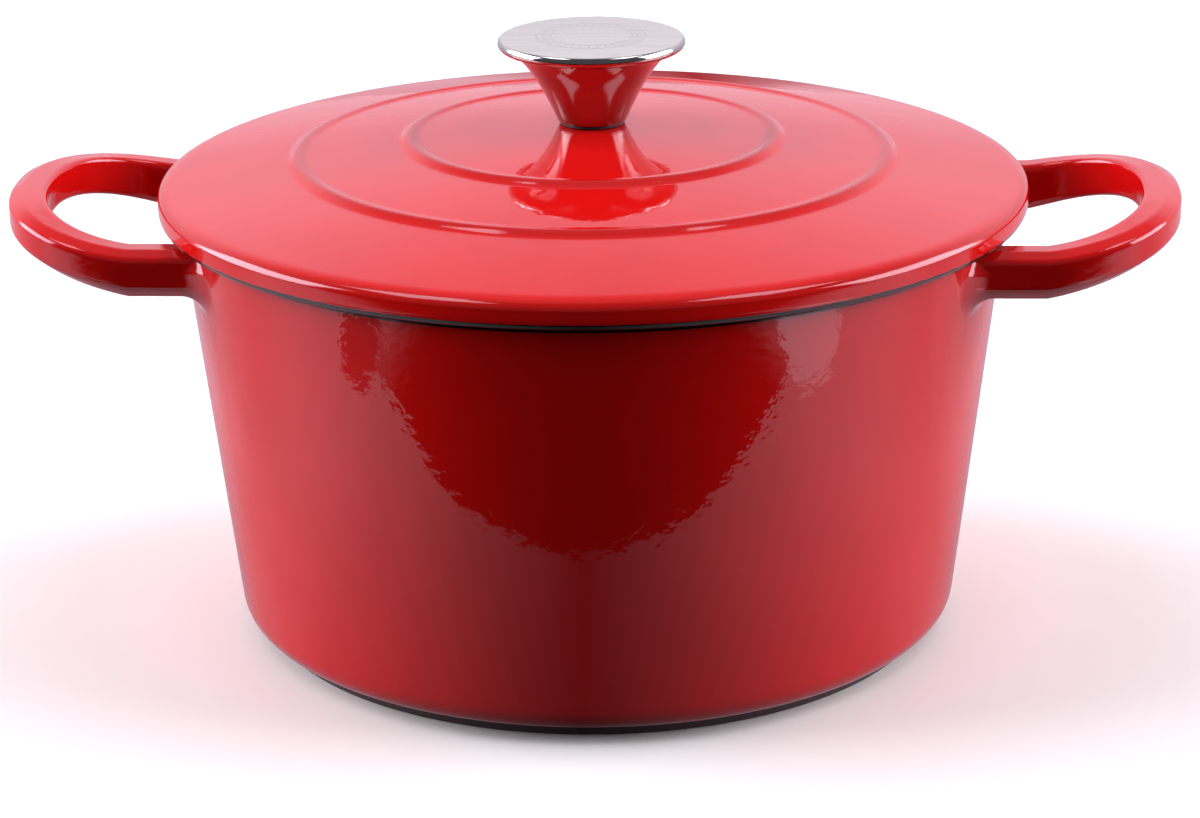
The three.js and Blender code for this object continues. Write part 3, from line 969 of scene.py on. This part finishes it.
@dataclass
class Lid:
    """The domed casting with two raised rings and a locating skirt."""

    pot: Pot
    overhang: float = 6.4
    wall: float = 3.6
    edge_height: float = 9.7
    rise: float = 15.0
    dome_power: float = 1.55
    edge_fillet: float = 5.5
    side_height: float = 2.6
    underturn: float = 3.4
    ring_radii: tuple[float, float] = (57.8, 93.0)
    ring_half_width: float = 3.7
    ring_height: float = 1.1
    ring_step: float = 0.5
    skirt_clearance: float = 0.7
    skirt_depth: float = 5.0
    skirt_wall: float = 3.5
    skirt_rounding: float = 1.0
    pad_radius: float = 13.0
    boss_radius: float = 14.0
    boss_thickness: float = 6.0
    boss_fillet: float = 2.0
    hole_radius: float = 3.5
    segments: int = 360

    def __post_init__(self) -> None:
        """Works out the levels."""
        self.seat = self.pot.rim_height + GAP
        self.radius = self.pot.rim_radius + self.overhang
        self.dome_radius = self.radius - self.edge_fillet
        self.dome_foot = self.seat + self.edge_height

    def _dome(self, r: Array) -> Array:
        """Height of the plain dome: its foot plus the rise times 1 - (r / dome radius)^power."""
        return self.dome_foot + self.rise * (1 - (r / self.dome_radius) ** self.dome_power)

    def top(self, r: Array) -> Array:
        """Height of the top: the dome, plus a cosine squared bead and a smooth step down at each ring.

        Args:
            r: Radii.

        Returns:
            A height for each.
        """
        z = self._dome(np.maximum(r, self.pad_radius))
        for crest in self.ring_radii:
            off = r - crest
            inside = np.abs(off) < self.ring_half_width
            bead = np.where(inside, np.cos(np.pi * off / (2 * self.ring_half_width)) ** 2, 0)
            z = z + self.ring_height * bead
            z = z + self.ring_step * (1 - smooth(-self.ring_half_width, self.ring_half_width, off))
        return z

    def _under(self, r: Array) -> Array:
        """Height of the underside: the dome less the wall, with the same steps under the rings.

        Args:
            r: Radii.

        Returns:
            A height for each.
        """
        z = self._dome(r) - self.wall
        for crest in self.ring_radii:
            z = z + self.ring_step * (1 - smooth(-self.ring_half_width, self.ring_half_width, r - crest))
        return z

    def _under_at(self, r: float) -> Point:
        """The underside's point at a radius."""
        return r, float(self._under(np.array(r)))

    def _outline(self) -> Array:
        """The section from the hole's top edge, over the dome, round the edge, under and up the hole.

        Returns:
            Radius and height of each point.
        """
        half = self.ring_half_width
        near_rings = [np.linspace(c - half, c + half, 25) for c in self.ring_radii]
        plain = [np.linspace(self.hole_radius, self.pad_radius, 5), np.linspace(14, 53, 26),
                 np.linspace(63, 88, 18), np.linspace(98, self.dome_radius, 24)]
        r = np.sort(np.concatenate(near_rings + plain))
        slope = self.rise * self.dome_power / self.dome_radius
        side_top = self.seat + self.underturn + self.side_height
        skirt_foot = self.seat - self.skirt_depth
        outer = self.pot.cavity_radius(skirt_foot) - self.skirt_clearance
        inner = outer - self.skirt_wall
        k = self.skirt_rounding
        under_r = np.linspace(inner - 3.0, self.boss_radius + self.boss_fillet, 60)
        boss_level = float(self.top(np.array(self.pad_radius))) - self.boss_thickness
        hole_top = float(self.top(np.array(0.0))) - 0.05
        dome_edge = (self.dome_radius, self.dome_foot)
        tangent = (self.radius, self.dome_foot - slope * self.edge_fillet)
        fillet_foot = self.seat + self.underturn
        return chain(
            np.stack([r, self.top(r)], axis=1),
            bezier(dome_edge, tangent, (self.radius, side_top), count=18),
            line((self.radius, side_top), (self.radius, fillet_foot), 4),
            bezier((self.radius, fillet_foot), (self.radius, self.seat),
                   (self.radius - self.underturn, self.seat), count=14),
            line((self.radius - self.underturn, self.seat), (outer + k, self.seat), 12),
            arc((outer + k, self.seat - k), k, 90, 180, 5),
            arc((outer - k, skirt_foot + k), k, 0, -90, 6),
            arc((inner + k, skirt_foot + k), k, -90, -180, 6),
            bezier((inner, self._under_at(inner)[1] - 3.0), self._under_at(inner),
                   self._under_at(inner - 3.0), count=8),
            np.stack([under_r, self._under(under_r)], axis=1),
            bezier(self._under_at(self.boss_radius + self.boss_fillet), self._under_at(self.boss_radius),
                   (self.boss_radius - 0.4, boss_level), count=8),
            line((self.boss_radius - 0.4, boss_level), (self.hole_radius + 0.4, boss_level), 6),
            line((self.hole_radius, boss_level + 0.4), (self.hole_radius, hole_top), 6),
        )

    def _zones(self, outline: Array) -> dict[str, Array]:
        """The black seat band, the cream underside and the thin enamel on crests and edge.

        Args:
            outline: The section's points.

        Returns:
            A value for each point by zone name.
        """
        r, z = outline.T
        order = np.arange(len(outline))
        edge = int(np.argmax(r + 0.001 * z))
        below = order > edge
        outer = self.pot.cavity_radius(self.seat - self.skirt_depth) - self.skirt_clearance
        seat_band = smooth(outer - 1.0, outer + 0.4, r) * (1 - smooth(1.5, 2.7, z - self.seat))
        crests = sum(np.exp(-(((r - c) / 1.6) ** 2)) for c in self.ring_radii)
        shoulder = np.exp(-(((r - self.radius + 0.9) / 1.1) ** 2)) * smooth(self.seat + 3, self.seat + 5, z)
        return {
            Zone.RIM.value: np.where(below, seat_band, 0.0),
            Zone.INSIDE.value: np.where(below & (r < outer + 0.2), 1.0, 0.0),
            Zone.THIN.value: np.where(below, 0.0, np.clip(crests + shoulder, 0, 1)),
        }

    def build(self, finishes: Wardrobe) -> None:
        """Makes the casting and fits it."""
        outline = self._outline()
        lid = turned(outline, self.segments, self._zones(outline)).made("lid_casting")
        fitted(lid, Body.LID, "lid_body", finishes.lid_enamel)


# ---- The knob ----


@dataclass
class Knob:
    """The flared shell, the cap that closes it, the nut inside and the gasket under it."""

    foot_radius: float = 11.0
    shell: float = 1.4
    base: float = 2.4
    foot_chamfer: float = 0.5
    cap_edge: float = 3.6
    cap_crown: float = 0.6
    cap_rounding: float = 0.9
    spigot_radius: float = 19.0
    hole_radius: float = 3.5
    bore_radius: float = 3.3
    nut_chamfer: float = 0.6
    segments: int = 180

    def __post_init__(self) -> None:
        """Reads the places of the knob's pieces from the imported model."""
        self.foot, self.mouth, self.mouth_radius = measured("knob_body")
        self.cap_foot, self.cap_top, self.cap_radius = measured("knob_cap")
        self.nut_foot, self.nut_top, self.nut_radius = measured("knob_insert")
        self.gasket_foot, self.gasket_top, self.gasket_radius = measured("knob_gasket")

    def _trumpet(self) -> Array:
        """The shell's outside from foot to mouth, a cubic curve of radius and height.

        Returns:
            Radius and height of each point.
        """
        height = self.mouth - self.foot
        flare = self.mouth_radius - self.foot_radius
        return bezier(
            (self.foot_radius, self.foot + self.foot_chamfer),
            (self.foot_radius + 0.27 * flare, self.foot + 0.4 * height),
            (self.foot_radius + 0.6 * flare, self.foot + 0.8 * height),
            (self.mouth_radius, self.mouth - 0.15),
            count=40,
        )

    def _body(self) -> Surface:
        """The shell, open at the mouth, with a thicker base.

        Returns:
            The closed surface.
        """
        outside = self._trumpet()
        base_top = self.foot + self.base
        inside = outside[outside[:, 1] > base_top + self.shell] - np.array([1.25 * self.shell, 0.0])
        lip = self.mouth_radius - 0.5
        return turned(chain(
            line((self.hole_radius, self.foot), (self.foot_radius - self.foot_chamfer, self.foot), 5),
            outside,
            line((lip, self.mouth), (lip - 0.6, self.mouth), 2),
            inside[::-1],
            line((self.foot_radius - self.shell, base_top), (self.hole_radius, base_top), 5),
            line((self.hole_radius, base_top), (self.hole_radius, self.foot + 0.05), 4),
        ), self.segments)

    def _cap(self) -> Surface:
        """The disc: spigot, bevel, rounded edge and a top that crowns as 1 - (r / R)^2.

        Returns:
            The closed surface.
        """
        underside = self.mouth + GAP
        edge = underside + self.cap_edge
        flat = self.cap_radius - self.cap_rounding
        lip = self.mouth_radius + 0.06
        bevel_top = (self.cap_radius - 0.7, self.mouth + 1.0)
        r = np.linspace(flat, 0, 40)
        crown = np.stack([r, edge + self.cap_crown * (1 - (r / flat) ** 2)], axis=1)
        return turned(chain(
            line((0, self.cap_foot), (self.spigot_radius - 0.3, self.cap_foot), 8),
            line((self.spigot_radius, self.cap_foot + 0.3), (self.spigot_radius, underside), 3),
            line((self.spigot_radius, underside), (self.mouth_radius - 0.3, underside), 5),
            line((lip, underside - 0.1), (lip, self.mouth - 0.25), 3),
            bezier((self.mouth_radius + 0.2, self.mouth - 0.3), (self.cap_radius - 1.2, self.mouth + 0.5),
                   bevel_top, count=10),
            bezier(bevel_top, (self.cap_radius - 0.1, self.mouth + 1.5), (self.cap_radius, edge - 1.7),
                   count=10),
            bezier((self.cap_radius, edge - 1.7), (self.cap_radius - 0.1, edge - 0.3), (flat, edge),
                   count=14),
            crown,
        ), self.segments)

    def _nut(self) -> Surface:
        """The blind round nut: a bore from below and chamfered ends.

        Returns:
            The closed surface.
        """
        c, end = self.nut_chamfer, self.nut_top - 2.0
        return turned(chain(
            line((0, end + 0.8), (self.bore_radius, end), 3),
            line((self.bore_radius, end), (self.bore_radius, self.nut_foot + 0.4), 8),
            line((self.bore_radius + 0.4, self.nut_foot), (self.nut_radius - c, self.nut_foot), 3),
            line((self.nut_radius, self.nut_foot + c), (self.nut_radius, self.nut_top - c), 8),
            line((self.nut_radius - c, self.nut_top), (0, self.nut_top), 4),
        ), 72)

    def _gasket(self) -> Surface:
        """A flat ring with a rounded outer edge. Its black under the knob's foot is partly painted shade,
        standing in for the shade in the crease there.

        Returns:
            The closed surface.
        """
        half = (self.gasket_top - self.gasket_foot) / 2
        middle = (self.gasket_radius - half, self.gasket_foot + half)
        return turned(chain(
            line((self.hole_radius, self.gasket_foot), (self.gasket_radius - half, self.gasket_foot), 4),
            arc(middle, half, -90, 90, 8),
            line((self.gasket_radius - half, self.gasket_top), (self.hole_radius, self.gasket_top), 4),
        ), 120)

    def build(self, finishes: Wardrobe) -> None:
        """Makes the knob's four pieces and fits them.

        Args:
            finishes: The object's materials.
        """
        fitted(self._body().made("knob_shell"), Body.LID, "knob_body", finishes.polished)
        cap = self._cap().made("knob_disc")
        fitted(cap, Body.LID, "knob_cap", finishes.satin)
        cap.data.materials.append(finishes.polished)
        middles = np.zeros(len(cap.data.polygons) * 3)
        cap.data.polygons.foreach_get("center", middles)
        under_top = middles.reshape(-1, 3)[:, 2] < (self.cap_top - self.cap_crown - 0.01) * MM
        cap.data.polygons.foreach_set("material_index", under_top.astype(np.int32))
        fitted(self._nut().made("knob_nut"), Body.LID, "knob_insert", finishes.plated)
        # The gasket's black under the knob's foot is partly painted shade: it stands in for the shade in
        # the crease there.
        fitted(self._gasket().made("knob_seal"), Body.LID, "knob_gasket", finishes.rubber)


# ---- The fastening ----


@dataclass
class Fastening:
    """The screw under the lid with its flat and its spring washer."""

    hole_radius: float = 3.5
    thread_radius: float = 3.0
    thread_depth: float = 0.5
    pitch: float = 1.0
    head_height: float = 4.0
    head_rounding: float = 1.6
    recess_length: float = 6.4
    recess_width: float = 1.3
    recess_depth: float = 2.2
    split: float = 0.9
    segments: int = 96

    def __post_init__(self) -> None:
        """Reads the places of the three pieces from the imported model."""
        self.head_foot, self.tip, self.head_radius = measured("knob_screw")
        self.flat_foot, self.flat_top, self.flat_radius = measured("flat_washer")
        self.spring_foot, self.spring_top, self.spring_radius = measured("spring_washer")

    def _shank(self, a: Array) -> Array:
        """The threaded shank, whose thread fades at both ends.

        Its radius is the outside less depth |2 frac(z / pitch - a / turn) - 1|.

        Args:
            a: Angles round the axis.

        Returns:
            Points by ring, angle and coordinate.
        """
        start, end = self.head_foot + self.head_height, self.tip
        z = np.linspace(start, end, int((end - start) * 12))[:, None]
        phase = (z / self.pitch - a / (2 * np.pi)) % 1.0
        cut = self.thread_depth * np.abs(2 * phase - 1)
        fade = smooth(start + 0.3, start + 1.2, z) * (1 - smooth(end - 1.2, end, z))
        taper = 0.75 * smooth(end - 0.9, end, z)
        r = self.thread_radius - cut * fade - self.thread_depth * (1 - fade) * 0.6 - taper
        return round_axis(r, z, a)

    def _screw(self) -> Surface:
        """The screw from the middle of its head's recess, over the head and up the thread to its tip.

        The head's face is lowered inside a cross: where the smaller of |x|, |y| is under half the bar's
        width and the larger under half its length, with sloping ends.

        Returns:
            The closed surface.
        """
        a = np.linspace(0, 2 * np.pi, self.segments, endpoint=False)
        k, foot, side = self.head_rounding, self.head_foot, self.head_radius
        r = np.linspace(0.15, side - k, 34)[:, None]
        x, y = np.abs(r * np.cos(a)), np.abs(r * np.sin(a))
        within = smooth(self.recess_width / 2 + 0.12, self.recess_width / 2 - 0.12, np.minimum(x, y))
        reach = np.maximum(x, y) / (self.recess_length / 2)
        depth = self.recess_depth * within * np.clip((1 - reach) * 3.0, 0, 1)
        face = round_axis(r, foot + depth, a)
        rest = chain(
            bezier((side - k, foot), (side, foot), (side, foot + k), count=10)[1:],
            line((side, foot + k), (side, foot + self.head_height - 0.2), 4),
            line((side - 0.2, foot + self.head_height), (self.thread_radius, foot + self.head_height), 4),
        )
        body = round_axis(rest[:, :1], rest[:, 1:], a)
        return swept(np.concatenate([face, body, self._shank(a)]))

    def _flat_washer(self) -> Surface:
        """A punched flat ring with one rounded and one plain edge.

        Returns:
            The closed surface.
        """
        k = 0.3
        return turned(chain(
            line((self.hole_radius, self.flat_foot), (self.flat_radius - k, self.flat_foot), 6),
            arc((self.flat_radius - k, self.flat_foot + k), k, -90, 0, 5),
            line((self.flat_radius, self.flat_top - 0.1), (self.flat_radius - 0.1, self.flat_top), 2),
            line((self.flat_radius - 0.1, self.flat_top), (self.hole_radius + 0.2, self.flat_top), 6),
            line((self.hole_radius, self.flat_top - 0.2), (self.hole_radius, self.flat_foot + 0.05), 3),
        ), self.segments)

    def _spring_washer(self) -> Surface:
        """A split ring of rounded square wire that rises evenly round its turn.

        Returns:
            The closed surface.
        """
        lift = 0.25
        half_height = (self.spring_top - self.spring_foot - lift) / 2
        half_width = (self.spring_radius - self.hole_radius) / 2
        corners = np.array([[-1.0, 1.0], [-1.0, -1.0], [1.0, -1.0], [1.0, 1.0]])
        wire = rounded_outline(corners, np.full(4, 0.25), 32)
        cut = math.asin(self.split / 2 / self.hole_radius)
        a = np.linspace(cut, 2 * np.pi - cut, 73)[:, None]
        r = self.hole_radius + half_width * (1 + wire[:, 0])
        z = self.spring_foot + half_height * (1 + wire[:, 1]) + lift * a / (2 * np.pi)
        return swept(round_axis(r, z, a))

    def build(self, finishes: Wardrobe) -> None:
        """Makes the three pieces and fits them.

        Args:
            finishes: The object's materials.
        """
        for surface, name, body, node in (
            (self._screw(), "lid_screw", Body.SCREW, "knob_screw"),
            (self._flat_washer(), "plain_washer", Body.WASHERS, "flat_washer"),
            (self._spring_washer(), "split_washer", Body.WASHERS, "spring_washer"),
        ):
            fitted(surface.made(name), body, node, finishes.plated)


# ---- The studio ----


def direction(azimuth: float, elevation: float) -> Vector:
    """The way at an azimuth clockwise from +Y and an elevation, in degrees."""
    az, el = math.radians(azimuth), math.radians(elevation)
    return Vector((math.sin(az) * math.cos(el), math.cos(az) * math.cos(el), math.sin(el)))


@dataclass(frozen=True)
class Panel:
    """A soft rectangular light far away, given by where it stands and its half sizes as tangents."""

    azimuth: float
    elevation: float
    half_width: float
    half_height: float
    strength: float
    edge: float = 0.08

    def glow(self, graph: Graph, way: Socket) -> Socket:
        """The panel's brightness in a direction.

        Args:
            graph: The world's graph.
            way: The direction looked in.

        Returns:
            The brightness.
        """
        az = math.radians(self.azimuth)
        towards = direction(self.azimuth, self.elevation)
        level = Vector((math.cos(az), -math.sin(az), 0))
        upright = level.cross(towards)
        ahead = graph.vector("DOT_PRODUCT", way, tuple(towards))
        safe = graph.math("MAXIMUM", ahead, 0.01)
        masks = []
        for axis, half in ((level, self.half_width), (upright, self.half_height)):
            across = graph.math("DIVIDE", graph.vector("DOT_PRODUCT", way, tuple(axis)), safe)
            off = graph.math("ABSOLUTE", across)
            masks.append(graph.ramp(off, half - self.edge, half + self.edge, 1.0, 0.0))
        front = graph.math("GREATER_THAN", ahead, 0.02)
        return graph.times(*masks, front, self.strength)


@dataclass(frozen=True)
class Spot:
    """A soft round patch on the reflection card, in metres."""

    x: float
    y: float
    radius: float
    strength: float


@dataclass(frozen=True)
class ReflectionCard:
    """The table top as the gloss sees it: bright at the sides, dim in front, dark past its edge."""

    half: float = 12.0
    height: float = 0.0008
    edge: float = -0.213
    middle_glow: float = 0.08
    side_glow: float = 1.05
    side_at: float = 0.23
    behind_share: float = 0.62
    soft_share: float = 0.12
    spots: tuple[Spot, ...] = (
        Spot(-0.275, -0.200, 0.035, 0.15),
        Spot(0.290, -0.205, 0.050, 2.0),
    )

    def _brightness(self, graph: Graph) -> Socket:
        """The card's brightness by place.

        Args:
            graph: The card's graph.

        Returns:
            The brightness.
        """
        place = graph.place()
        parts = graph.split(place)
        aside, ahead = graph.math("ABSOLUTE", parts["X"]), parts["Y"]
        near = graph.ramp(ahead, self.edge - 0.0015, self.edge + 0.0015)
        table = graph.ramp(aside, 0.0, self.side_at, self.middle_glow, self.side_glow, eased=False)
        table = graph.times(table, graph.ramp(ahead, -0.11, 0.03, 1.0, self.behind_share))
        past = graph.times(graph.ramp(aside, 0.20, 0.30), graph.ramp(ahead, -0.42, -0.25))
        total = graph.plus(graph.times(near, table), graph.times(graph.minus(1.0, near), past))
        for spot in self.spots:
            away = graph.vector("LENGTH", graph.vector("SUBTRACT", place, (spot.x, spot.y, 0.0)))
            share = graph.ramp(away, spot.radius * 0.9, spot.radius * 1.1, 1.0, 0.0)
            kept = graph.times(total, graph.minus(1.0, share))
            total = graph.plus(kept, graph.times(share, spot.strength))
        return total

    def make(self) -> bpy.types.Material:
        """The card's material: a glow from above and clear from below.

        Returns:
            The material.
        """
        material = bpy.data.materials.new("reflection_card")
        material.use_nodes = True
        graph = Graph(material.node_tree)
        graph.tree.nodes.clear()
        soft = graph.add("LightPath").outputs["Is Diffuse Ray"]
        share = graph.ramp(soft, 0.0, 1.0, 1.0, self.soft_share)
        strength = graph.times(self._brightness(graph), share)
        glow = graph.add("Emission", {"Color": ROOM_TINT, "Strength": strength})
        clear = graph.add("BsdfTransparent")
        under = graph.add("NewGeometry").outputs["Backfacing"]
        mix = graph.add("MixShader", {0: under, 1: glow.outputs[0], 2: clear.outputs[0]})
        graph.add("OutputMaterial", {"Surface": mix.outputs[0]})
        return material


@dataclass
class Studio:
    """The floor, the light and the camera."""

    lens: float = 109.2
    sensor: float = 36.0
    position: tuple[float, float, float] = (0.0564, -1.1099, 0.4532)
    heading: float = -2.84
    tilt: float = -19.17
    roll: float = -0.69
    floor_half: float = 14.0
    backdrop: float = 1.15
    backdrop_foot: float = 0.85
    backdrop_top: float = 0.3
    front_glow: float = 0.10
    card: ReflectionCard = ReflectionCard()
    panels: tuple[Panel, ...] = (
        Panel(azimuth=-84, elevation=16, half_width=0.42, half_height=0.42, strength=9.2),
        Panel(azimuth=84, elevation=16, half_width=0.42, half_height=0.42, strength=8.2),
        Panel(azimuth=-90, elevation=66, half_width=0.24, half_height=0.15, strength=4.6, edge=0.03),
        Panel(azimuth=90, elevation=66, half_width=0.24, half_height=0.15, strength=4.6, edge=0.03),
    )

    def _camera(self) -> None:
        """Places the camera: it looks along its heading, tilted down and rolled a little."""
        roll = math.radians(self.roll)
        ahead = direction(self.heading, self.tilt)
        level = ahead.cross(Vector((0, 0, 1))).normalized()
        upright = level.cross(ahead)
        right = level * math.cos(roll) + upright * math.sin(roll)
        up = upright * math.cos(roll) - level * math.sin(roll)
        data = bpy.data.cameras.new("studio_camera")
        data.lens = self.lens
        data.sensor_width = self.sensor
        data.sensor_fit = "HORIZONTAL"
        data.clip_start = 0.05
        camera = bpy.data.objects.new("studio_camera", data)
        axes = Matrix((right, up, -ahead)).transposed().to_4x4()
        camera.matrix_world = Matrix.Translation(self.position) @ axes
        bpy.context.scene.collection.objects.link(camera)
        bpy.context.scene.camera = camera

    @staticmethod
    def _sheet(name: str, half: float, level: float, material: bpy.types.Material) -> bpy.types.Object:
        """A level square sheet, given by half its side in metres.

        Args:
            name: The sheet's name.
            half: Half its side, in metres.
            level: Its height.
            material: Its finish.

        Returns:
            The sheet's object.
        """
        mesh = bpy.data.meshes.new(name)
        square = [(-half, -half, level), (half, -half, level), (half, half, level), (-half, half, level)]
        mesh.from_pydata(square, [], [[0, 1, 2, 3]])
        mesh.materials.append(material)
        obj = bpy.data.objects.new(name, mesh)
        bpy.context.scene.collection.objects.link(obj)
        return obj

    def _floor(self, effects: Effects) -> None:
        """The pale floor, and just above it the card that only bounced light sees.

        Args:
            effects: The shared node groups.
        """
        self._sheet("studio_floor", self.floor_half, 0.0, Paint("floor_paint").make(effects))
        card = self._sheet("reflection_card", self.card.half, self.card.height, self.card.make())
        card.visible_camera = False
        card.visible_shadow = False
        card.visible_transmission = False

    def _light(self) -> None:
        """The room: a bright backdrop that dims upwards and towards the front, and the soft panels."""
        world = bpy.data.worlds.new("studio_room")
        bpy.context.scene.world = world
        world.use_nodes = True
        graph = Graph(world.node_tree)
        graph.tree.nodes.clear()
        way = graph.add("TexCoord").outputs["Generated"]
        level, height = graph.split(way)["Y"], graph.split(way)["Z"]
        total = graph.times(
            graph.ramp(height, 0.15, 0.38, self.backdrop_foot, self.backdrop),
            graph.ramp(height, 0.42, 0.8, 1.0, self.backdrop_top),
            graph.ramp(level, -0.15, 0.2),
        )
        total = graph.math("MAXIMUM", total, self.front_glow)
        for panel in self.panels:
            total = graph.math("MAXIMUM", total, panel.glow(graph, way))
        room = graph.add("Background", {"Color": ROOM_TINT, "Strength": total})
        white = graph.add("Background", {"Color": (1.0, 1.0, 1.0), "Strength": 1.0})
        seen = graph.add("LightPath").outputs["Is Camera Ray"]
        mix = graph.add("MixShader", {0: seen, 1: room.outputs[0], 2: white.outputs[0]})
        graph.add("OutputWorld", {"Surface": mix.outputs[0]})

    def build(self, effects: Effects) -> None:
        """Sets the camera, the floor and the light, and a plain view of colours.

        Args:
            effects: The shared node groups.
        """
        self._camera()
        self._floor(effects)
        self._light()
        bpy.context.scene.view_settings.view_transform = "Standard"
        log.info("studio: lens %.1f mm, %d panels", self.lens, len(self.panels))


def corners(box: object) -> list[list[float]]:
    """A box as plain lists of numbers."""
    return [[float(v) for v in corner] for corner in box]


def main() -> None:
    """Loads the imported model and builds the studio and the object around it."""
    logging.basicConfig(level=logging.INFO, format="%(name)s: %(message)s")
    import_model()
    effects = Effects()
    Studio().build(effects)
    finishes = Wardrobe(effects)
    pot = Pot()
    pot.build(finishes)
    Lid(pot).build(finishes)
    Knob().build(finishes)
    Fastening().build(finishes)


if __name__ == "__main__":
    main()
